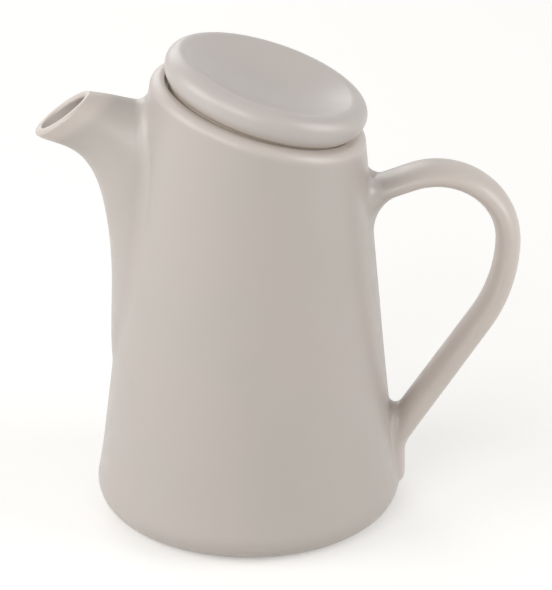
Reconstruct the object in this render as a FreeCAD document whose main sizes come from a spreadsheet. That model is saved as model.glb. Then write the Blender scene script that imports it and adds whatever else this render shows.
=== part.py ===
"""Glazed stoneware coffee pot: body with a slanting rim, luted spout and handle, and a dished drop-in lid.

The origin is the middle of the foot ring, on the surface the pot stands on. +Z is up, +X points to the
handle and -X to the spout; the pot is the same on both sides of the XZ plane.
"""

import FreeCAD, Part
import math
import os
import re

import Sketcher
from FreeCAD import Vector

# Driving sizes, in millimetres and degrees
SIZES = {
    # body: radius at each height, and the circle of the slanting rim
    "foot_flare": 4.4,
    "skirt_height": 22.0,
    "skirt_radius": 60.1,
    "waist_height": 60.0,
    "waist_radius": 55.5,
    "rim_height": 173.6,
    "rim_offset": 3.9,
    "rim_radius": 44.2,
    "rim_tilt": 17.26,
    "base_round": 10.4,
    "lip_round": 4.0,
    "lip_inner_round": 0.6,
    "wall": 4.6,
    "floor_thickness": 7.0,
    "cavity_round": 9.0,
    "foot_ring_radius": 46.0,
    "foot_recess": 2.0,
    # gallery: the step inside the rim that carries the lid
    "gallery_radius": 38.5,
    "gallery_depth": 4.0,
    "ledge_thickness": 5.0,
    "throat_radius": 35.0,
    # lid, measured along its own axis from the plane of the rim
    "lid_slip": 0.85,
    "lid_radius": 41.5,
    "lid_neck_gap": 1.2,
    "lid_seat_gap": 0.25,
    "lid_foot_inset": 0.5,
    "roll_radius": 5.65,
    "roll_height": 7.4,
    "roll_turn": 125.0,
    "dish_radius": 28.5,
    "dish_edge_height": 9.2,
    "dish_depth": 2.4,
    "dish_blend": 17.0,
    "lid_thickness": 4.8,
    "flange_gap": 1.6,
    "flange_wall": 4.0,
    "flange_depth": 9.0,
    "flange_round": 1.4,
    # spout stations: distance out from and down from the spout side of the rim, half sizes and tilt
    "mouth_out": 35.8,
    "mouth_down": 16.7,
    "mouth_half_length": 13.7,
    "mouth_half_width": 10.4,
    "mouth_tilt": 36.7,
    "beak_out": 29.8,
    "beak_down": 18.8,
    "beak_half_length": 13.7,
    "beak_half_width": 10.4,
    "beak_tilt": 45.1,
    "neck_out": 22.8,
    "neck_down": 21.2,
    "neck_half_length": 13.8,
    "neck_half_width": 11.0,
    "neck_tilt": 53.7,
    "bend_out": 15.2,
    "bend_down": 27.1,
    "bend_half_length": 17.3,
    "bend_half_width": 13.0,
    "bend_tilt": 63.0,
    "breast_out": 7.2,
    "breast_down": 36.3,
    "breast_half_length": 26.2,
    "breast_half_width": 16.5,
    "breast_tilt": 64.0,
    "belly_out": -0.7,
    "belly_down": 54.7,
    "belly_half_length": 42.8,
    "belly_half_width": 20.0,
    "belly_tilt": 65.7,
    "hem_out": -4.5,
    "hem_down": 68.7,
    "hem_half_length": 53.7,
    "hem_half_width": 21.5,
    "hem_tilt": 66.0,
    "root_out": -10.3,
    "root_down": 83.2,
    "root_half_length": 63.2,
    "root_half_width": 22.0,
    "root_tilt": 67.7,
    "heel_out": -18.8,
    "heel_down": 95.2,
    "heel_half_length": 68.6,
    "heel_half_width": 22.0,
    "heel_tilt": 70.0,
    "spout_wall": 3.7,
    "bend_wall": 4.6,
    "mouth_round": 1.2,
    "spout_top_blend": 4.5,
    "spout_foot_blend": 25.0,
    "pour_hole_in": 7.0,
    "pour_hole_down": 37.5,
    "pour_hole_half_length": 14.5,
    "pour_hole_half_width": 9.5,
    # handle: a strap along straight runs and arcs, set out from the handle side of the rim
    "crown_out": 28.6,
    "crown_down": 45.3,
    "crown_radius": 29.0,
    "back_radius": 64.0,
    "arm_slope": 20.0,
    "tail_bend_radius": 20.0,
    "tail_top_height": 21.0,
    "tail_inset": 1.7,
    "tail_end_height": 8.3,
    "strap_width": 20.0,
    "strap_thickness": 8.8,
    "tail_width": 18.0,
    "tail_thickness": 11.6,
    "tail_round": 3.0,
    "arm_root_depth": 8.0,
    "arm_top_blend": 2.0,
    "arm_under_blend": 18.0,
    "crotch_blend": 3.0,
    "tail_blend": 3.0,
}

doc = FreeCAD.newDocument("coffee_pot")
sheet = doc.addObject("Spreadsheet::Sheet", "sizes")
for row, (name, value) in enumerate(SIZES.items(), start=1):
    sheet.set(f"A{row}", name)
    sheet.set(f"B{row}", str(value))
    sheet.setAlias(f"B{row}", name)
doc.recompute()


def bound(text):
    """Expression text with every size name replaced by its cell."""
    return re.sub(r"[a-z_]+", lambda word: f"sizes.{word[0]}" if word[0] in SIZES else word[0], text)


def number(text):
    """Value of an expression in millimetres or degrees."""
    value = sheet.evalExpression(bound(text))
    return float(getattr(value, "Value", value))


def bind(sketch, constraint, size):
    """Adds a driving constraint whose value follows a size expression."""
    unit = " * 1 deg" if constraint.Type == "Angle" else ""
    index = sketch.addConstraint(constraint)
    sketch.setExpression(f"Constraints[{index}]", f"({bound(size)}){unit}")


def placed(x, z, tilt, spin="0"):
    """Placement in the XZ plane as an expression: tilted about +Y, after a spin about its own axis."""
    turn = f"rotation(vector(0; 1; 0); {bound(tilt)}) * rotation(vector(0; 0; 1); {spin})"
    return f"placement(vector({bound(x)}; 0; {bound(z)}); {turn})"


# Turn at which the circles of the body start and end, clear of the spout and the handle
SEAM = "60"


def circle(name, radius, x, z, tilt="0"):
    """Circle of the body or of its inside, centred in the XZ plane."""
    ring = doc.addObject("Part::Circle", name)
    ring.setExpression("Radius", bound(radius))
    ring.setExpression("Placement", placed(x, z, tilt, SEAM))
    return ring


def oval(name, half_length, half_width, x, z, tilt):
    """Ellipse across the XZ plane whose long axis rises by tilt from +X."""
    ring = doc.addObject("Part::Ellipse", name)
    ring.setExpression("MajorRadius", bound(half_length))
    ring.setExpression("MinorRadius", bound(half_width))
    ring.setExpression("Placement", placed(x, z, f"0 - ( {tilt} )"))
    return ring


def loft(name, sections):
    """Smooth solid through closed sections."""
    solid = doc.addObject("Part::Loft", name)
    solid.Sections = sections
    solid.Solid = True
    return solid


def cylinder(name, radius, depth, x, z, tilt="0"):
    """Round cutter that starts at a point of the XZ plane and runs along its tilted axis."""
    solid = doc.addObject("Part::Cylinder", name)
    solid.setExpression("Radius", bound(radius))
    solid.setExpression("Height", bound(depth))
    solid.setExpression("Placement", placed(x, z, tilt))
    return solid


def cut(name, base, tool):
    """Base with tool taken away."""
    result = doc.addObject("Part::Cut", name)
    result.Base = base
    result.Tool = tool
    return result


def fuse(name, pieces):
    """All pieces as one solid."""
    result = doc.addObject("Part::MultiFuse", name)
    result.Shapes = pieces
    result.Refine = False
    return result


def common(name, base, tool):
    """What base and tool share."""
    result = doc.addObject("Part::Common", name)
    result.Base = base
    result.Tool = tool
    return result


def rounded(name, base, picks):
    """Fillets on chosen edges; picks is a list of (edge test, start radius, end radius)."""
    doc.recompute()
    chosen = []
    for index, edge in enumerate(base.Shape.Edges, start=1):
        for test, first, last in picks:
            if test(edge, base.Shape):
                chosen.append((index, number(first), number(last)))
                break
    result = doc.addObject("Part::Fillet", name)
    result.Base = base
    result.Edges = chosen
    return result


TILT = "( rim_tilt * 1 deg )"
# Corners of the rim circle in the XZ plane
SPOUT_RIM_X = f"( rim_offset - rim_radius * cos{TILT} )"
SPOUT_RIM_Z = f"( rim_height + rim_radius * sin{TILT} )"
HANDLE_RIM_X = f"( rim_offset + rim_radius * cos{TILT} )"
HANDLE_RIM_Z = f"( rim_height - rim_radius * sin{TILT} )"
# Shares of the way from waist to rim at which the straight wall gets a section
WALL_SHARES = ("1 / 3", "2 / 3")
NEAR = 0.05


def under_rim(depth):
    """Point on the axis of the rim, a depth below its plane, as X and Z expressions."""
    return f"rim_offset - ( {depth} ) * sin{TILT}", f"rim_height - ( {depth} ) * cos{TILT}"


def wall_section(name, share, inset, rim_depth):
    """Section of the straight wall, a share of the way from the waist to the rim."""
    rim_x, rim_z = under_rim(rim_depth)
    turn = f"( rim_tilt * {share} * 1 deg )"
    span = f"( waist_radius + ( rim_radius * cos{TILT} - waist_radius ) * {share} )"
    return circle(
        name,
        f"{span} / cos{turn} - ( {inset} )",
        f"( {rim_x} ) * {share}",
        f"waist_height + ( {rim_z} - waist_height ) * {share}",
        f"rim_tilt * {share}",
    )


def body_blank():
    """Solid body: flared foot, straight oblique wall, round under edge and rounded lip."""
    sections = [
        circle("foot_circle", "skirt_radius + foot_flare", "0", "0"),
        circle("skirt_circle", "skirt_radius", "0", "skirt_height"),
        circle("waist_circle", "waist_radius", "0", "waist_height"),
    ]
    for place, share in enumerate(WALL_SHARES, start=1):
        sections.append(wall_section(f"wall_circle_{place}", share, "0", "0"))
    sections.append(circle("rim_circle", "rim_radius", "rim_offset", "rim_height", "rim_tilt"))
    blank = loft("body_blank", sections)

    def foot_edge(edge, shape):
        return edge.BoundBox.ZMax < NEAR

    def lip_edge(edge, shape):
        return edge.Closed and abs(edge.CenterOfMass.z - number("rim_height")) < NEAR

    picks = [(foot_edge, "base_round", "base_round"), (lip_edge, "lip_round", "lip_round")]
    return rounded("body_rounded", blank, picks)


# Spout stations from the mouth to the heel, which is buried in the body
STATIONS = ("mouth", "beak", "neck", "bend", "breast", "belly", "hem", "root", "heel")


def station(name, inset, prefix):
    """Section of the spout at a named station, drawn in all round by inset."""
    return oval(
        f"{prefix}_{name}",
        f"{name}_half_length - {inset}",
        f"{name}_half_width - {inset}",
        f"{SPOUT_RIM_X} - {name}_out",
        f"{SPOUT_RIM_Z} - {name}_down",
        f"{name}_tilt",
    )


def spout_blank():
    """Solid spout: a long swelling up the wall that turns out into a slanted oval mouth."""
    return loft("spout_blank", [station(name, "0", "outer") for name in STATIONS])


def spout_channel():
    """Bore of the spout, from its mouth through the wall of the body into the pot."""
    sections = [station(name, "spout_wall", "inner") for name in STATIONS[:3]]
    sections.append(station("bend", "bend_wall", "inner"))
    sections.append(
        oval(
            "pour_hole",
            "pour_hole_half_length",
            "pour_hole_half_width",
            f"{SPOUT_RIM_X} + pour_hole_in",
            f"{SPOUT_RIM_Z} - pour_hole_down",
            "bend_tilt",
        )
    )
    return loft("spout_channel", sections)


def handle_path():
    """Middle line of the strap: arm, crown, back, fall, bend and tail, each tangent to the next."""
    path = doc.addObject("Sketcher::SketchObject", "handle_path")
    path.Placement = FreeCAD.Placement(Vector(), FreeCAD.Rotation(Vector(1, 0, 0), 90))
    crown = Vector(number(f"{HANDLE_RIM_X} + crown_out"), number(f"{HANDLE_RIM_Z} - crown_down"))
    crown_radius = number("crown_radius")
    back_radius = number("back_radius")
    bend_radius = number("tail_bend_radius")
    slope = math.radians(number("arm_slope"))
    up = Vector(0, 0, 1)

    def around(middle, radius, angle):
        return middle + Vector(math.cos(angle), math.sin(angle)) * radius

    def arc(middle, radius, first, last):
        return Part.ArcOfCircle(Part.Circle(middle, up, radius), first, last)

    arm_end = around(crown, crown_radius, math.pi / 2 + slope)
    arm_start_x = number(f"{HANDLE_RIM_X} - arm_root_depth")
    arm_start = Vector(arm_start_x, arm_end.y - (arm_end.x - arm_start_x) * math.tan(slope))
    back = crown + Vector(crown_radius - back_radius, 0)
    tail_x = number("skirt_radius - tail_inset")
    tail_top = Vector(tail_x, number("tail_top_height"))
    tail_end = Vector(tail_x, number("tail_end_height"))
    bend = tail_top + Vector(bend_radius, 0)
    # the fall touches the back arc on its outer side and the bend on its inner side
    gap = bend - back
    fall = -math.atan2(gap.y, gap.x) - math.acos((back_radius + bend_radius) / gap.Length)
    back_end = around(back, back_radius, -fall)
    bend_start = around(bend, bend_radius, math.pi - fall)
    lines = [
        Part.LineSegment(arm_start, arm_end),
        arc(crown, crown_radius, 0, math.pi / 2 + slope),
        arc(back, back_radius, -fall, 0),
        Part.LineSegment(bend_start, back_end),
        arc(bend, bend_radius, math.pi - fall, math.pi),
        Part.LineSegment(tail_top, tail_end),
    ]
    path.addGeometry(lines, False)
    start, end, middle = 1, 2, 3
    meetings = [
        (0, end, 1, end),
        (1, start, 2, end),
        (2, start, 3, end),
        (3, start, 4, start),
        (4, end, 5, start),
    ]
    for meeting in meetings:
        path.addConstraint(Sketcher.Constraint("Tangent", *meeting))
    driven = [
        ("Radius", (1,), "crown_radius"),
        ("Radius", (2,), "back_radius"),
        ("Radius", (4,), "tail_bend_radius"),
        ("DistanceX", (1, middle), f"{HANDLE_RIM_X} + crown_out"),
        ("DistanceY", (1, middle), f"{HANDLE_RIM_Z} - crown_down"),
        ("DistanceX", (0, start), f"{HANDLE_RIM_X} - arm_root_depth"),
        ("Angle", (0,), "arm_slope"),
        ("DistanceX", (5, end), "skirt_radius - tail_inset"),
        ("DistanceY", (5, end), "tail_end_height"),
        ("DistanceY", (5, start), "tail_top_height"),
    ]
    for kind, where, size in driven:
        value = math.radians(number(size)) if kind == "Angle" else number(size)
        bind(path, Sketcher.Constraint(kind, *where, value), size)
    path.addConstraint(Sketcher.Constraint("Horizontal", 1, middle, 2, middle))
    path.addConstraint(Sketcher.Constraint("Vertical", 5))
    return path


def strap_section(name, width, thickness, x, z, tilt):
    """Oval across the strap, its long axis along Y."""
    ring = doc.addObject("Part::Ellipse", name)
    ring.setExpression("MajorRadius", bound(f"{width} / 2"))
    ring.setExpression("MinorRadius", bound(f"{thickness} / 2"))
    ring.setExpression("Placement", placed(x, z, tilt, "-90"))
    return ring


def handle_blank():
    """Solid strap handle, oval in section and a little thicker towards its tail."""
    path = handle_path()
    doc.recompute()
    slope = "( arm_slope * 1 deg )"
    arm_end_x = f"crown_out - crown_radius * sin{slope}"
    arm_end_z = f"{HANDLE_RIM_Z} - crown_down + crown_radius * cos{slope}"
    arm = strap_section(
        "arm_section",
        "strap_width",
        "strap_thickness",
        f"{HANDLE_RIM_X} - arm_root_depth",
        f"{arm_end_z} - ( {arm_end_x} + arm_root_depth ) * tan{slope}",
        "90 - arm_slope",
    )
    tail = strap_section(
        "tail_section",
        "tail_width",
        "tail_thickness",
        "skirt_radius - tail_inset",
        "tail_end_height",
        "180",
    )
    strap = doc.addObject("Part::Sweep", "handle_strap")
    strap.Sections = [arm, tail]
    strap.Spine = (path, [f"Edge{place}" for place in range(1, len(path.Shape.Edges) + 1)])
    strap.Solid = True

    def tail_edge(edge, shape):
        return edge.Closed and edge.BoundBox.ZMax < number("tail_end_height") + NEAR

    return rounded("handle_blank", strap, [(tail_edge, "tail_round", "tail_round")])


def quarter(name, side):
    """Box on the +Y side of the XZ plane that holds the spout (side -1) or the handle (side 1)."""
    box = doc.addObject("Part::Box", name)
    for edge in ("Length", "Width", "Height"):
        box.setExpression(edge, bound("4 * skirt_radius + rim_height"))
    if side < 0:
        box.setExpression("Placement.Base.x", bound("0 - 4 * skirt_radius - rim_height"))
    box.setExpression("Placement.Base.z", bound("0 - skirt_radius"))
    return box


def luted_half(name, blank, body, side, blends):
    """Half of a blank with a hollow blend to the body, cut off along the skin of the body.

    blends gives, for a height, the radii at the upper and the lower end of a seam edge there.
    """
    half = common(f"{name}_side", fuse(f"{name}_on_body", [body, blank]), quarter(f"{name}_quarter", side))
    doc.recompute()
    skins = (blank.Shape.Shells[0], body.Shape.Shells[0])
    chosen = []
    for index, edge in enumerate(half.Shape.Edges, start=1):
        middle = Part.Vertex(edge.valueAt((edge.FirstParameter + edge.LastParameter) / 2))
        on_seam = all(skin.distToShape(middle)[0] < NEAR for skin in skins)
        if on_seam and middle.Y > NEAR:
            upper, lower = blends(middle.Z)
            falls = edge.valueAt(edge.FirstParameter).z > edge.valueAt(edge.LastParameter).z
            chosen.append((index, upper, lower) if falls else (index, lower, upper))
    blended = doc.addObject("Part::Fillet", f"{name}_blended")
    blended.Base = half
    blended.Edges = chosen
    return cut(f"{name}_half", blended, body)


def both_sides(label, half):
    """Whole piece from its half on the +Y side."""
    other = doc.addObject("Part::Mirroring", f"{label}_mirrored")
    other.Source = half
    other.Normal = Vector(0, 1, 0)
    piece = fuse(label, [half, other])
    piece.Label = label
    return piece


def spout_piece(body, channel):
    """Spout as luted to the body: blended root, open channel and rounded mouth."""

    def blends(height):
        return number("spout_top_blend"), number("spout_foot_blend")

    half = luted_half("spout_shell", spout_blank(), body, -1, blends)
    open_half = cut("spout_open", half, channel)
    mouth = Vector(number(f"{SPOUT_RIM_X} - mouth_out"), 0, number(f"{SPOUT_RIM_Z} - mouth_down"))
    tilt = math.radians(number("mouth_tilt"))
    axis = Vector(-math.sin(tilt), 0, math.cos(tilt))

    def mouth_edge(edge, shape):
        middle = edge.valueAt((edge.FirstParameter + edge.LastParameter) / 2)
        return middle.y > NEAR and abs((middle - mouth).dot(axis)) < NEAR

    lipped = rounded("spout_lipped", open_half, [(mouth_edge, "mouth_round", "mouth_round")])
    return both_sides("spout", lipped)


def handle_piece(body):
    """Handle as luted to the body at its arm and its tail."""

    def blends(height):
        if height > number("waist_height"):
            return number("arm_top_blend"), number("arm_under_blend")
        return number("crotch_blend"), number("tail_blend")

    return both_sides("handle", luted_half("handle_shell", handle_blank(), body, 1, blends))


def body_cavity():
    """Inside of the body, from the floor to the under side of the ledge that carries the lid."""
    ledge_under = "gallery_depth + ledge_thickness"
    sections = [
        circle("floor_circle", "skirt_radius - wall", "0", "floor_thickness"),
        circle("inner_skirt_circle", "skirt_radius - wall", "0", "skirt_height"),
        circle("inner_waist_circle", "waist_radius - wall", "0", "waist_height"),
    ]
    for place, share in enumerate(WALL_SHARES, start=1):
        sections.append(wall_section(f"inner_wall_circle_{place}", share, "wall", ledge_under))
    sections.append(circle("ledge_circle", "rim_radius - wall", *under_rim(ledge_under), "rim_tilt"))
    cavity = loft("cavity_blank", sections)

    def floor_edge(edge, shape):
        return edge.BoundBox.ZMax < number("floor_thickness") + NEAR

    return rounded("cavity", cavity, [(floor_edge, "cavity_round", "cavity_round")])


def body_piece(body, channel):
    """Hollow body: gallery and throat under the rim, pour hole, and a recess within the foot ring."""
    step = under_rim("gallery_depth")
    gallery = cylinder("gallery", "gallery_radius", "2 * gallery_depth", *step, "rim_tilt")
    throat_depth = "gallery_depth + 2 * ledge_thickness"
    throat = cylinder("throat", "throat_radius", throat_depth, *under_rim(throat_depth), "rim_tilt")
    recess = cylinder("recess", "foot_ring_radius", "foot_recess", "0", "0")
    hollow = fuse("hollow", [body_cavity(), gallery, throat, recess, channel])
    opened = cut("body_opened", body, hollow)

    def lip_inner_edge(edge, shape):
        radius = getattr(edge.Curve, "Radius", 0)
        high = edge.BoundBox.ZMax > number(f"{SPOUT_RIM_Z} - gallery_depth")
        return edge.Closed and high and abs(radius - number("gallery_radius")) < NEAR

    piece = rounded("pot_body", opened, [(lip_inner_edge, "lip_inner_round", "lip_inner_round")])
    piece.Label = "pot_body"
    return piece


LEFT = 1
RIGHT = -1


def lid_outline():
    """Half section of the lid, clockwise from its middle, as corners (radius, height).

    A corner that starts a round stretch also has its radius and the side on which its centre lies.
    """
    turn = "( roll_turn * 1 deg )"
    neck = "( gallery_radius - lid_neck_gap )"
    overhang = f"( lid_radius - {neck} )"
    seat = "lid_seat_gap - gallery_depth"
    flange = "throat_radius - flange_gap"
    dish_round = "( dish_radius ^ 2 + dish_depth ^ 2 ) / ( 2 * dish_depth )"
    side_round = f"( {overhang} ^ 2 + roll_height ^ 2 ) / ( 2 * {overhang} )"
    under = "dish_edge_height - dish_depth - lid_thickness"
    roll_start = f"lid_radius - roll_radius * ( 1 - cos{turn} )"
    return [
        ("0", "dish_edge_height - dish_depth", dish_round, LEFT),
        ("dish_radius", "dish_edge_height"),
        (roll_start, f"roll_height + roll_radius * sin{turn}", "roll_radius", RIGHT),
        ("lid_radius", "roll_height", side_round, RIGHT),
        (neck, "0"),
        (f"{neck} - lid_foot_inset", seat),
        (flange, seat),
        (flange, f"{seat} - flange_depth"),
        (f"{flange} - flange_wall", f"{seat} - flange_depth"),
        (f"{flange} - flange_wall", under),
        ("0", under),
    ]


def arc_between(first, last, radius, side):
    """Arc of less than a half turn from first to last, with its centre on the given side."""
    chord = last - first
    across = Vector(-chord.y, chord.x).normalize() * side
    centre = (first + last) * 0.5 + across * math.sqrt(radius ** 2 - chord.Length ** 2 / 4)
    return Part.Arc(first, centre - across * radius, last)


def draw_outline(sketch, corners):
    """Closed outline in a sketch, every corner and radius bound to the sizes."""
    points = [Vector(number(corner[0]), number(corner[1])) for corner in corners]
    following = points[1:] + points[:1]
    heads = []
    tails = []
    for corner, point, after in zip(corners, points, following):
        line = Part.LineSegment(point, after)
        backward = False
        if len(corner) > 2:
            line = arc_between(point, after, number(corner[2]), corner[3])
            backward = corner[3] == RIGHT
        place = sketch.addGeometry(line, False)
        heads.append((place, 2 if backward else 1))
        tails.append((place, 1 if backward else 2))
    for head, tail in zip(heads[1:] + heads[:1], tails):
        sketch.addConstraint(Sketcher.Constraint("Coincident", *tail, *head))
    horizontal_axis = -1
    vertical_axis = -2
    for corner, point, head in zip(corners, points, heads):
        across = ("DistanceX", corner[0], point.x, vertical_axis)
        along = ("DistanceY", corner[1], point.y, horizontal_axis)
        for kind, size, value, axis in (across, along):
            if size == "0":
                sketch.addConstraint(Sketcher.Constraint("PointOnObject", *head, axis))
            else:
                bind(sketch, Sketcher.Constraint(kind, *head, value), size)
        if len(corner) > 2:
            bind(sketch, Sketcher.Constraint("Radius", head[0], number(corner[2])), corner[2])


def softened_lid(lid, name, base, wanted, radius):
    """Fillet on the level edges of the lid whose boxes are wanted."""
    doc.recompute()
    edges = [
        f"Edge{place}"
        for place, edge in enumerate(base.Shape.Edges, start=1)
        if wanted(edge.BoundBox)
    ]
    softened = lid.newObject("PartDesign::Fillet", name)
    softened.Base = (base, edges)
    softened.setExpression("Radius", bound(radius))
    return softened


def lid_piece():
    """Lid, turned about its own axis: dished disc, rolled edge, and a flange that drops into the throat."""
    lid = doc.addObject("PartDesign::Body", "lid")
    lid.Label = "lid"
    plane = next(item for item in lid.Origin.OriginFeatures if item.Role == "XZ_Plane")
    sketch = lid.newObject("Sketcher::SketchObject", "lid_section")
    sketch.AttachmentSupport = (plane, [""])
    sketch.MapMode = "FlatFace"
    draw_outline(sketch, lid_outline())
    turned = lid.newObject("PartDesign::Revolution", "lid_turned")
    turned.Profile = sketch
    turned.ReferenceAxis = (sketch, ["V_Axis"])
    turned.Angle = 360
    doc.recompute()
    flange_end = number("lid_seat_gap - gallery_depth - flange_depth")

    def flange_edge(box):
        return box.ZMax < flange_end + NEAR

    def dish_edge(box):
        level = abs(box.ZMax - number("dish_edge_height")) + abs(box.ZMin - number("dish_edge_height"))
        return level < NEAR and abs(box.XMax - number("dish_radius")) < NEAR

    softened = softened_lid(lid, "flange_softened", turned, flange_edge, "flange_round")
    softened_lid(lid, "dish_softened", softened, dish_edge, "dish_blend")
    slip_x = f"rim_offset + lid_slip * cos{TILT}"
    slip_z = f"rim_height - lid_slip * sin{TILT}"
    lid.setExpression("Placement", placed(slip_x, slip_z, "rim_tilt"))
    return lid


def check(pieces):
    """Stops the build if any object failed or a piece isn't one sound solid."""
    doc.recompute()
    failed = [item.Name for item in doc.Objects if {"Invalid", "Error"} & set(item.State)]
    if failed:
        raise RuntimeError(f"failed: {failed}")
    for piece in pieces:
        shape = piece.Shape
        if shape.isNull() or not shape.isValid() or len(shape.Solids) != 1:
            raise RuntimeError(f"{piece.Label} is not one valid solid")
        print(piece.Label, "volume", round(shape.Volume / 1000, 1), "cubic cm")


def main():
    """Builds the four pieces and writes a file for each."""
    body = body_blank()
    channel = spout_channel()
    pieces = [body_piece(body, channel), spout_piece(body, channel), handle_piece(body), lid_piece()]
    check(pieces)
    os.makedirs("parts", exist_ok=True)
    for piece in pieces:
        piece.Shape.exportStep(f"parts/{piece.Label}.step")


main()
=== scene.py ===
import logging
import math
from dataclasses import dataclass, replace
from enum import Enum
from functools import cached_property

import bpy
from mathutils import Matrix, Vector


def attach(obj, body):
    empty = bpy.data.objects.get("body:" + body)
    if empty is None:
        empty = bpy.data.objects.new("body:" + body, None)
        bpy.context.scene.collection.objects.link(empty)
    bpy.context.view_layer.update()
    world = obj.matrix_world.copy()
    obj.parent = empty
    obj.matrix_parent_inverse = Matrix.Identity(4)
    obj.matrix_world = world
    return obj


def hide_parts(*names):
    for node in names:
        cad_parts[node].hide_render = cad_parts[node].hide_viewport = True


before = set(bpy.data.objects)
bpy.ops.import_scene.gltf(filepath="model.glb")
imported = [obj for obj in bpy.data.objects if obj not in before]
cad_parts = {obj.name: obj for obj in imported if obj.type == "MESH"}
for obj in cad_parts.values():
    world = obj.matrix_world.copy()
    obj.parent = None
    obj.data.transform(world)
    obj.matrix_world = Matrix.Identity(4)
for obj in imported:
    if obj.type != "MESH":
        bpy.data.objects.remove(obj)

log = logging.getLogger("coffee_pot")
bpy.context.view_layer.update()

Colour = tuple[float, float, float]
Point = tuple[float, float, float]
Section = list[tuple[float, float]]
Span = tuple[float, float]
Socket = bpy.types.NodeSocket

UP: Point = (0.0, 0.0, 1.0)
TOWARDS_HANDLE: Point = (1.0, 0.0, 0.0)
RIM_AXIS: Point = (0.2967, 0.0, 0.955)
MOUTH_AXIS: Point = (-0.5976, 0.0, 0.8018)
WHITE: Colour = (1.0, 1.0, 1.0)
QUARTER: float = math.pi / 2


class Step(Enum):
    """Step of arithmetic on a value of a material."""

    LESS = "SUBTRACT"
    TIMES = "MULTIPLY"
    GREATER = "MAXIMUM"
    SIZE = "ABSOLUTE"


@dataclass
class Nodes:
    """Node tree of a material or of the world, with short ways to add to it.

    Attributes:
        tree: The tree.
    """

    tree: bpy.types.NodeTree

    @classmethod
    def of(cls, owner: bpy.types.Material | bpy.types.World) -> "Nodes":
        """Starts on the tree of a material or of the world.

        Args:
            owner: The material or the world.

        Returns:
            Its tree.
        """
        owner.use_nodes = True
        return cls(owner.node_tree)

    @cached_property
    def place(self) -> Socket:
        """Point on the surface, in metres."""
        return self.tree.nodes.new("ShaderNodeTexCoord").outputs["Object"]

    @property
    def shader(self) -> bpy.types.Node:
        """Main shader of a material."""
        return self.tree.nodes["Principled BSDF"]

    def link(self, source: Socket, target: Socket) -> None:
        """Joins two sockets."""
        self.tree.links.new(source, target)

    def noise(self, size: float, detail: float = 2.0) -> Socket:
        """Adds a noise field.

        Args:
            size: Size of its waves in metres.
            detail: Octaves.

        Returns:
            Strength of the noise, about 0.5 on average.
        """
        noise = self.tree.nodes.new("ShaderNodeTexNoise")
        noise.inputs["Scale"].default_value = 1 / size
        noise.inputs["Detail"].default_value = detail
        self.link(self.place, noise.inputs["Vector"])
        return noise.outputs["Fac"]

    def spread(self, value: Socket, stretch: Span, onto: Span) -> Socket:
        """Maps a stretch of values softly onto another.

        Args:
            value: Value to map.
            stretch: Start and end of its stretch.
            onto: Results at the start and before it, and at the end and after it.

        Returns:
            The mapped value.
        """
        node = self.tree.nodes.new("ShaderNodeMapRange")
        node.interpolation_type = "SMOOTHSTEP"
        for name, number in zip(("From Min", "From Max", "To Min", "To Max"), stretch + onto):
            node.inputs[name].default_value = number
        self.link(value, node.inputs["Value"])
        return node.outputs["Result"]

    def maths(self, step: Step, first: Socket, second: Socket | float) -> Socket:
        """Adds one step of arithmetic.

        Args:
            step: Which one.
            first: First value.
            second: Second value, or a number.

        Returns:
            The result.
        """
        node = self.tree.nodes.new("ShaderNodeMath")
        node.operation = step.value
        self.link(first, node.inputs[0])
        if isinstance(second, float):
            node.inputs[1].default_value = second
        else:
            self.link(second, node.inputs[1])
        return node.outputs[0]

    def tinted(self, under: Socket | Colour, over: Colour, share: Socket) -> Socket:
        """Lays one colour over another.

        Args:
            under: Colour below.
            over: Colour on top.
            share: How much of the upper one shows, from 0 to 1.

        Returns:
            The mixed colour.
        """
        node = self.tree.nodes.new("ShaderNodeMix")
        node.data_type = "RGBA"
        factor, *_ = node.inputs
        first, second = (socket for socket in node.inputs if socket.type == "RGBA")
        result = next(socket for socket in node.outputs if socket.type == "RGBA")
        self.link(share, factor)
        if isinstance(under, tuple):
            first.default_value = (*under, 1)
        else:
            self.link(under, first)
        second.default_value = (*over, 1)
        return result

    def bump(self, height: Socket, depth: float, under: Socket | None = None) -> Socket:
        """Adds a relief on top of another.

        Args:
            height: Height field, from 0 to 1.
            depth: Its depth in metres.
            under: Normal below, if there is one.

        Returns:
            The new normal.
        """
        node = self.tree.nodes.new("ShaderNodeBump")
        node.inputs["Strength"].default_value = 1.0
        node.inputs["Distance"].default_value = depth
        self.link(height, node.inputs["Height"])
        if under is not None:
            self.link(under, node.inputs["Normal"])
        return node.outputs["Normal"]


@dataclass(frozen=True)
class Band:
    """Level band round an axis, used for bare clay, for thinner glaze at edges and for painted light on
    shaded stretches.

    Attributes:
        axis: Axis that the band goes round, of length 1.
        middle: Where the band lies along that axis, in metres.
        half_height: Half of its height, in metres.
        fade: Height over which it fades out, in metres.
        wobble: How far its edge wanders, in metres.
        wobble_size: Size of the waves of its edge, in metres.
        most: How much of its colour shows at its middle, from 0 to 1.
    """

    axis: Point
    middle: float
    half_height: float
    fade: float = 0.0002
    wobble: float = 0.0004
    wobble_size: float = 0.009
    most: float = 1.0

    def share(self, nodes: Nodes) -> Socket:
        """Finds the band.

        Args:
            nodes: Nodes of the material.

        Returns:
            The band's share, which is 0 off the band.
        """
        along = nodes.tree.nodes.new("ShaderNodeVectorMath")
        along.operation = "DOT_PRODUCT"
        along.inputs[1].default_value = self.axis
        nodes.link(nodes.place, along.inputs[0])
        off = nodes.maths(Step.LESS, along.outputs["Value"], self.middle)
        apart = nodes.maths(Step.SIZE, off, 0.0)
        wander = nodes.maths(Step.TIMES, nodes.noise(self.wobble_size), self.wobble)
        inner = self.half_height - (self.wobble + self.fade) / 2
        wandering = nodes.maths(Step.LESS, apart, wander)
        return nodes.spread(wandering, (inner, inner + self.fade), (self.most, 0.0))


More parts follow.
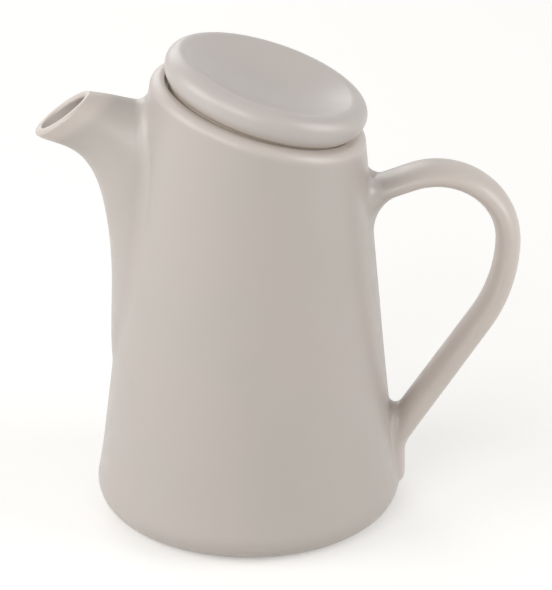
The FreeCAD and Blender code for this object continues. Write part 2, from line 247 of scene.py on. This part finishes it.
@dataclass(frozen=True)
class Glaze:
    """Satin glaze over pale stoneware.

    Attributes:
        name: Name of the material.
        colour: Colour where the glaze is at its usual thickness.
        cool: Colour of the slow clouds in it.
        thin_glaze_and_painted_light: Colour where the glaze has drawn back from an edge, also laid as painted
            light to lighten stretches that lie in shade.
        bare: Colour of the clay below it.
        refraction: Refractive index.
        roughness: Least and greatest roughness of the satin surface.
        bare_roughness: Roughness of the clay.
        cloud_size: Size in metres of the slow clouds.
        cloud_detail: Octaves of the clouds.
        cloud_stretch: Noise at which a cloud starts and at which it is full.
        sheen_size: Size in metres of the patches of the roughness.
        sheen_stretch: Noise at the least and at the greatest roughness.
        ripple_size: Size in metres of the slow waves of the surface.
        ripple_detail: Octaves of the slow waves.
        ripple_depth: Depth in metres of the slow waves.
        peel_size: Size in metres of the fine texture of the surface.
        peel_depth: Depth in metres of the fine texture.
    """

    name: str
    colour: Colour
    cool: Colour
    # Paler colour: thinner glaze at edges, and painted light where it lightens shaded stretches.
    thin_glaze_and_painted_light: Colour = (0.592, 0.527, 0.482)
    bare: Colour = (0.56, 0.47, 0.37)
    refraction: float = 1.6
    roughness: Span = (0.31, 0.39)
    bare_roughness: float = 0.85
    cloud_size: float = 0.05
    cloud_detail: float = 3.0
    cloud_stretch: Span = (0.35, 0.65)
    sheen_size: float = 0.006
    sheen_stretch: Span = (0.3, 0.7)
    ripple_size: float = 0.034
    ripple_detail: float = 1.0
    ripple_depth: float = 0.0002
    peel_size: float = 0.0014
    peel_depth: float = 0.000004

    def material(self, wiped: Band, thinned_and_painted_light_bands: tuple[Band, ...]) -> bpy.types.Material:
        """Builds the glaze.

        Args:
            wiped: Band that is left bare.
            thinned_and_painted_light_bands: Bands on which the glaze is thinner, and bands that it lightens
                as painted light where they lie in shade.

        Returns:
            The material.
        """
        material = bpy.data.materials.new(self.name)
        nodes = Nodes.of(material)
        shader = nodes.shader
        shader.inputs["IOR"].default_value = self.refraction
        bare = wiped.share(nodes)
        nodes.link(self._colour(nodes, bare, thinned_and_painted_light_bands), shader.inputs["Base Color"])
        nodes.link(self._roughness(nodes, bare), shader.inputs["Roughness"])
        nodes.link(self._relief(nodes), shader.inputs["Normal"])
        return material

    def _colour(self, nodes: Nodes, bare: Socket, thinned_and_painted_light_bands: tuple[Band, ...]) -> Socket:
        """Colours the glaze: slow clouds, thinner glaze at edges, painted light that lightens shaded
        stretches, and bare clay.

        Args:
            nodes: Nodes of the material.
            bare: Share of bare clay.
            thinned_and_painted_light_bands: Bands on which the glaze is thinner, and bands that it lightens
                as painted light where they lie in shade.

        Returns:
            The colour.
        """
        noise = nodes.noise(self.cloud_size, self.cloud_detail)
        clouds = nodes.spread(noise, self.cloud_stretch, (0.0, 1.0))
        colour = nodes.tinted(self.colour, self.cool, clouds)
        # Lays the paler colour on each band: thinner glaze at edges, painted light on shaded stretches.
        for pale_band in thinned_and_painted_light_bands:
            colour = nodes.tinted(colour, self.thin_glaze_and_painted_light, pale_band.share(nodes))
        return nodes.tinted(colour, self.bare, bare)

    def _roughness(self, nodes: Nodes, bare: Socket) -> Socket:
        """Varies the gloss slowly, with dull clay where it is bare.

        Args:
            nodes: Nodes of the material.
            bare: Share of bare clay.

        Returns:
            The roughness.
        """
        satin = nodes.spread(nodes.noise(self.sheen_size), self.sheen_stretch, self.roughness)
        dull = nodes.spread(bare, (0.0, 1.0), (0.0, self.bare_roughness))
        return nodes.maths(Step.GREATER, satin, dull)

    def _relief(self, nodes: Nodes) -> Socket:
        """Waves and fine texture of the glaze.

        Args:
            nodes: Nodes of the material.

        Returns:
            The normal.
        """
        ripple = nodes.bump(nodes.noise(self.ripple_size, self.ripple_detail), self.ripple_depth)
        return nodes.bump(nodes.noise(self.peel_size), self.peel_depth, ripple)


@dataclass
class Pot:
    """Body, spout and handle, which are fired into one.

    Attributes:
        glaze: Finish of body and spout.
        strap_painted_light_glaze: Finish of the handle, which carries painted light.
        foot: Bare band on the foot ring.
        rim: Edge of the body, where the glaze is thinner; its fade also pales the gallery in the shade under
            the lid, as painted light.
        mouth_thinned_and_painted_light: Edge of the spout, where the glaze is thinner, and the inside of its
            opening, lightened as painted light where the near edge shades it.
        painted_light_strap: Stretch of the handle that stands off the body, lightened as painted light where
            the body shades it from the key light.
    """

    glaze: Glaze
    strap_painted_light_glaze: Glaze
    foot: Band = Band(UP, middle=0.0, half_height=0.0009)
    # Thinner glaze on the body's edge; the wide fade also pales the gallery below it as painted light.
    rim: Band = Band(RIM_AXIS, middle=0.1669, half_height=0.0032, fade=0.004, most=0.7)
    # Thinner glaze on the spout's edge, and painted light lightening the shaded inside of its opening.
    mouth_thinned_and_painted_light: Band = Band(MOUTH_AXIS, middle=0.179, half_height=0.005, fade=0.005)
    # Painted light: the handle made paler where the body blocks the key light from it.
    painted_light_strap: Band = Band(TOWARDS_HANDLE, middle=0.09, half_height=0.03, fade=0.02)

    def build(self) -> None:
        """Dresses the three nodes."""
        coat = self.glaze.material(self.foot, (self.rim, self.mouth_thinned_and_painted_light))
        strap_painted_light_coat = self.strap_painted_light_glaze.material(self.foot, (self.painted_light_strap,))
        for node, material in {"pot_body": coat, "spout": coat, "handle": strap_painted_light_coat}.items():
            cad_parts[node].data.materials[0] = material
            log.info("%s dressed in %s", node, material.name)


def arc(middle: tuple[float, float], radius: float, start: float, end: float, steps: int) -> Section:
    """Points along an arc of a turned section.

    Args:
        middle: Radius and height of its middle, in metres.
        radius: Its radius, in metres.
        start: Angle at which it starts, in radians from straight out.
        end: Angle at which it ends.
        steps: Number of stretches.

    Returns:
        Its points, as radius and height.
    """
    angles = [start + (end - start) * step / steps for step in range(steps + 1)]
    return [(middle[0] + radius * math.cos(turn), middle[1] + radius * math.sin(turn)) for turn in angles]


@dataclass
class Lid:
    """Loose lid: a shallow bowl in a rolled edge, with a flange that drops into the throat.

    Heights are over the plane of the pot's rim, along the axis of the lid. All sizes are in metres.

    Attributes:
        glaze: Finish of the lid.
        seat: Bare band on the ring that it lies on.
        painted_light_neck: Side below the roll, lightened as painted light in the shade of the roll's
            overhang.
        middle: Where its axis meets the plane of the rim.
        tilt: Slant of the rim, in radians.
        radius: Radius of the lid.
        roll_radius: Radius of the roll.
        roll_height: Height of the roll's middle.
        bowl_floor: Height of the bottom of the bowl.
        neck_radius: Radius below the roll.
        seat_radius: Outer radius of the ring that it lies on.
        seat_height: Height of that ring.
        seat_round: Rounding of that ring.
        flange_radius: Outer radius of the flange.
        flange_wall: Thickness of the flange.
        flange_end: Height of the end of the flange.
        flange_round: Rounding of that end.
        under: Height of the underside.
        under_round: Hollow between underside and flange.
        turns: Number of stretches round the axis.
        bowl_steps: Number of stretches along the bowl.
        roll_steps: Number of stretches along the roll.
        side_steps: Number of stretches along the side below the roll.
        seat_steps: Number of stretches along the rounding of the ring.
        round_steps: Number of stretches along each rounding of flange and underside.
        crease: Angle from which an edge shows as sharp, in radians.
    """

    glaze: Glaze
    seat: Band = Band(RIM_AXIS, middle=0.1632, half_height=0.0008)
    # Painted light: the side below the roll made paler in the shade of its overhang.
    painted_light_neck: Band = Band(RIM_AXIS, middle=0.1645, half_height=0.00395, fade=0.0045)
    middle: Point = (0.004712, 0.0, 0.173348)
    tilt: float = math.radians(17.26)
    radius: float = 0.0415
    roll_radius: float = 0.00565
    roll_height: float = 0.0074
    bowl_floor: float = 0.0042
    neck_radius: float = 0.0373
    seat_radius: float = 0.0368
    seat_height: float = -0.00375
    seat_round: float = 0.0005
    flange_radius: float = 0.0334
    flange_wall: float = 0.004
    flange_end: float = -0.01275
    flange_round: float = 0.0014
    under: float = 0.0004
    under_round: float = 0.002
    turns: int = 160
    bowl_steps: int = 32
    roll_steps: int = 28
    side_steps: int = 14
    seat_steps: int = 4
    round_steps: int = 6
    crease: float = math.radians(40)

    def build(self) -> None:
        """Turns the lid, glazes it and sets it on the pot in place of its node."""
        lid = self._turned(self._top() + self._side() + self._underside())
        lid.data.materials.append(self.glaze.material(self.seat, (self.painted_light_neck,)))
        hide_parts("lid")
        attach(lid, "lid")
        log.info("%s turned and dressed in %s", lid.name, self.glaze.name)

    def _top(self) -> Section:
        """Bowl and roll, from the axis to the widest point.

        Returns:
            The points of that stretch.
        """
        roll = (self.radius - self.roll_radius, self.roll_height)
        drop = self.bowl_floor - self.roll_height
        bowl = (roll[0] ** 2 + drop ** 2 - self.roll_radius ** 2) / (2 * (self.roll_radius - drop))
        turn = math.asin(roll[0] / (bowl + self.roll_radius))
        hollow = arc((0.0, self.bowl_floor + bowl), bowl, -QUARTER, turn - QUARTER, self.bowl_steps)
        return hollow + arc(roll, self.roll_radius, QUARTER + turn, 0.0, self.roll_steps)[1:]

    def _side(self) -> Section:
        """Side below the roll, from the widest point to the ring that it lies on.

        Returns:
            The points of that stretch.
        """
        overhang = self.radius - self.neck_radius
        bend = (overhang ** 2 + self.roll_height ** 2) / (2 * overhang)
        end = -math.asin(self.roll_height / bend)
        side = arc((self.radius - bend, self.roll_height), bend, 0.0, end, self.side_steps)[1:]
        edge = (self.seat_radius - self.seat_round, self.seat_height + self.seat_round)
        return side + arc(edge, self.seat_round, 0.0, -QUARTER, self.seat_steps)

    def _underside(self) -> Section:
        """Flange and underside, from the ring that it lies on back to the axis.

        Returns:
            The points of that stretch.
        """
        level = self.flange_end + self.flange_round
        outer = (self.flange_radius - self.flange_round, level)
        inner_radius = self.flange_radius - self.flange_wall
        inner = (inner_radius + self.flange_round, level)
        corner = (inner_radius - self.under_round, self.under - self.under_round)
        points = [(self.flange_radius, self.seat_height)]
        points += arc(outer, self.flange_round, 0.0, -QUARTER, self.round_steps)
        points += arc(inner, self.flange_round, -QUARTER, -2 * QUARTER, self.round_steps)
        points += arc(corner, self.under_round, 0.0, QUARTER, self.round_steps)
        return points + [(0.0, self.under)]

    def _turned(self, section: Section) -> bpy.types.Object:
        """Turns a section about the axis of the lid.

        Args:
            section: Radius and height of its points, from the axis and back to it.

        Returns:
            The lid in its place.
        """
        name = "dished_lid"
        (_, top), *rest, (_, bottom) = section
        angles = [2 * math.pi * turn / self.turns for turn in range(self.turns)]
        ways = [(math.cos(angle), math.sin(angle)) for angle in angles]
        points = [(radius * x, radius * y, height) for x, y in ways for radius, height in rest]
        points += [(0.0, 0.0, top), (0.0, 0.0, bottom)]
        mesh = bpy.data.meshes.new(name)
        mesh.from_pydata(points, [], self._faces(len(rest)))
        mesh.transform(Matrix.Translation(self.middle) @ Matrix.Rotation(self.tilt, 4, "Y"))
        mesh.shade_smooth()
        mesh.set_sharp_from_angle(angle=self.crease)
        lid = bpy.data.objects.new(name, mesh)
        bpy.context.scene.collection.objects.link(lid)
        return lid

    def _faces(self, row: int) -> list[tuple[int, ...]]:
        """Joins the points of a turned section, always in the same order.

        Args:
            row: Number of points in the section, without its two on the axis.

        Returns:
            The faces, by the numbers of their points. The two on the axis come last, the upper one first.
        """
        upper = row * self.turns
        lower = upper + 1
        faces = []
        for turn in range(self.turns):
            this, following = turn * row, (turn + 1) % self.turns * row
            faces.append((upper, this, following))
            faces += [(this + n, this + n + 1, following + n + 1, following + n) for n in range(row - 1)]
            faces.append((this + row - 1, lower, following + row - 1))
        return faces


@dataclass(frozen=True)
class Lamp:
    """Soft square lamp.

    Attributes:
        name: Name of the lamp.
        place: Where it hangs, in metres.
        power: Power in watts.
        size: Length of its sides, in metres.
    """

    name: str
    place: Point
    power: float
    size: float = 0.95

    def build(self, target: Point) -> None:
        """Hangs the lamp.

        Args:
            target: Point that it faces.
        """
        light = bpy.data.lights.new(self.name, "AREA")
        light.size = self.size
        light.energy = self.power
        lamp = bpy.data.objects.new(self.name, light)
        lamp.location = self.place
        facing = Vector(target) - Vector(self.place)
        lamp.rotation_euler = facing.to_track_quat("-Z", "Y").to_euler()
        bpy.context.scene.collection.objects.link(lamp)
        log.info("%s hung", self.name)


@dataclass
class Studio:
    """Pale floor, soft light and the camera of the photograph.

    Attributes:
        lamps: Lamps round the pot.
        elevation: Camera's angle above the floor, in radians.
        distance: Camera's distance from the point that it looks at, in metres.
        target: Point that it looks at.
        focal_pixels: Focal length in pixels of the picture.
        middle: Pixel at which the line of sight leaves the picture.
        picture: Width and height of the picture in pixels.
        sensor: Width of the camera's sensor in millimetres.
        sight: How far the camera sees, in metres.
        daylight: Strength of the light from all round.
        daylight_colour: Colour of that light.
        backdrop: Strength at which the surroundings show to the camera.
        floor_colour: Colour of the floor as it lights the pot.
        floor_roughness: Roughness of the floor.
        floor_gloss: Level of the floor's reflections.
        floor_glow: What the floor adds where the camera sees it, so that it shows white.
        floor_reach: Distance from the pot to the edges of the floor, in metres.
        floor_level: Height of the floor, just below the foot ring, in metres.
    """

    lamps: tuple[Lamp, ...]
    elevation: float = 0.4325
    distance: float = 1.5
    target: Point = (0.0, 0.0, 0.09)
    focal_pixels: float = 3722.06
    middle: tuple[float, float] = (248.875, 296.5)
    picture: tuple[int, int] = (552, 590)
    sensor: float = 36.0
    sight: float = 50.0
    daylight: float = 0.42
    daylight_colour: Colour = (1.0, 0.995, 0.985)
    backdrop: float = 1.0
    floor_colour: Colour = (0.75, 0.74, 0.72)
    floor_roughness: float = 0.9
    floor_gloss: float = 0.1
    floor_glow: float = 0.34
    floor_reach: float = 6.0
    floor_level: float = -0.0002

    def build(self) -> None:
        """Builds the camera, the floor and the lights."""
        self._camera()
        self._floor()
        self._world()
        for lamp in self.lamps:
            lamp.build(self.target)

    def _camera(self) -> None:
        """Sets the camera at the angle of the photograph."""
        longest = max(self.picture)
        lens = bpy.data.cameras.new("camera")
        lens.sensor_width = self.sensor
        lens.lens = self.focal_pixels * self.sensor / longest
        lens.shift_x = (self.picture[0] / 2 - self.middle[0]) / longest
        lens.shift_y = (self.middle[1] - self.picture[1] / 2) / longest
        lens.clip_end = self.sight
        camera = bpy.data.objects.new("camera", lens)
        back = Vector((0, -math.cos(self.elevation), math.sin(self.elevation)))
        camera.location = Vector(self.target) + back * self.distance
        camera.rotation_euler = (QUARTER - self.elevation, 0, 0)
        bpy.context.scene.collection.objects.link(camera)
        bpy.context.scene.camera = camera
        log.info("camera set")

    def _floor(self) -> None:
        """Lays a large pale floor that shows white to the camera and keeps the shadow."""
        mesh = bpy.data.meshes.new("floor")
        reach = self.floor_reach
        corners = [(-reach, -reach, 0), (reach, -reach, 0), (reach, reach, 0), (-reach, reach, 0)]
        mesh.from_pydata(corners, [], [(0, 1, 2, 3)])
        floor = bpy.data.objects.new("floor", mesh)
        floor.location.z = self.floor_level
        bpy.context.scene.collection.objects.link(floor)
        material = bpy.data.materials.new("pale_floor")
        nodes = Nodes.of(material)
        shader = nodes.shader
        shader.inputs["Base Color"].default_value = (*self.floor_colour, 1)
        shader.inputs["Roughness"].default_value = self.floor_roughness
        shader.inputs["Specular IOR Level"].default_value = self.floor_gloss
        shader.inputs["Emission Color"].default_value = (*WHITE, 1)
        glow = nodes.maths(Step.TIMES, self._seen(nodes), self.floor_glow)
        nodes.link(glow, shader.inputs["Emission Strength"])
        mesh.materials.append(material)
        log.info("floor laid")

    @staticmethod
    def _seen(nodes: Nodes) -> Socket:
        """Finds the rays that show the surroundings instead of lighting the pot.

        Args:
            nodes: Nodes of the floor's material or of the world.

        Returns:
            1 for rays from the camera, in reflections and through clear pieces, and 0 for others.
        """
        path = nodes.tree.nodes.new("ShaderNodeLightPath")
        seen = path.outputs["Is Camera Ray"]
        for name in ("Is Glossy Ray", "Is Transmission Ray"):
            seen = nodes.maths(Step.GREATER, seen, path.outputs[name])
        return seen

    def _world(self) -> None:
        """Lights the scene evenly from all round, and shows white."""
        world = bpy.data.worlds.new("studio")
        nodes = Nodes.of(world)
        sky = nodes.tree.nodes["Background"]
        sky.inputs["Color"].default_value = (*self.daylight_colour, 1)
        level = nodes.spread(self._seen(nodes), (0.0, 1.0), (self.daylight, self.backdrop))
        nodes.link(level, sky.inputs["Strength"])
        bpy.context.scene.world = world
        log.info("daylight set")


def main() -> None:
    """Builds the pot, its lid and the studio."""
    logging.basicConfig(level=logging.INFO)
    greige = Glaze("greige_glaze", colour=(0.496, 0.445, 0.412), cool=(0.484, 0.443, 0.408))
    # The handle's copy of the glaze carries the painted light of its paler band.
    Pot(greige, replace(greige, name="strap_painted_light_glaze")).build()
    # The lid's paler colour for its band below the roll is painted light.
    pale = Glaze("lid_glaze", colour=(0.526, 0.48, 0.452), cool=(0.516, 0.475, 0.446), thin_glaze_and_painted_light=(0.68, 0.59, 0.5))
    Lid(pale).build()
    key = Lamp("key_light", (-1.25, -0.35, 0.75), power=8.6)
    front = Lamp("front_light", (-0.6, -1.3, 0.9), power=8.0)
    fill = Lamp("fill_light", (1.3, -0.25, 0.6), power=8.5)
    back = Lamp("back_light", (-0.5, 1.35, 0.8), power=5.0)
    Studio((key, front, fill, back)).build()
    bpy.context.scene.view_settings.view_transform = "Standard"


if __name__ == "__main__":
    main()
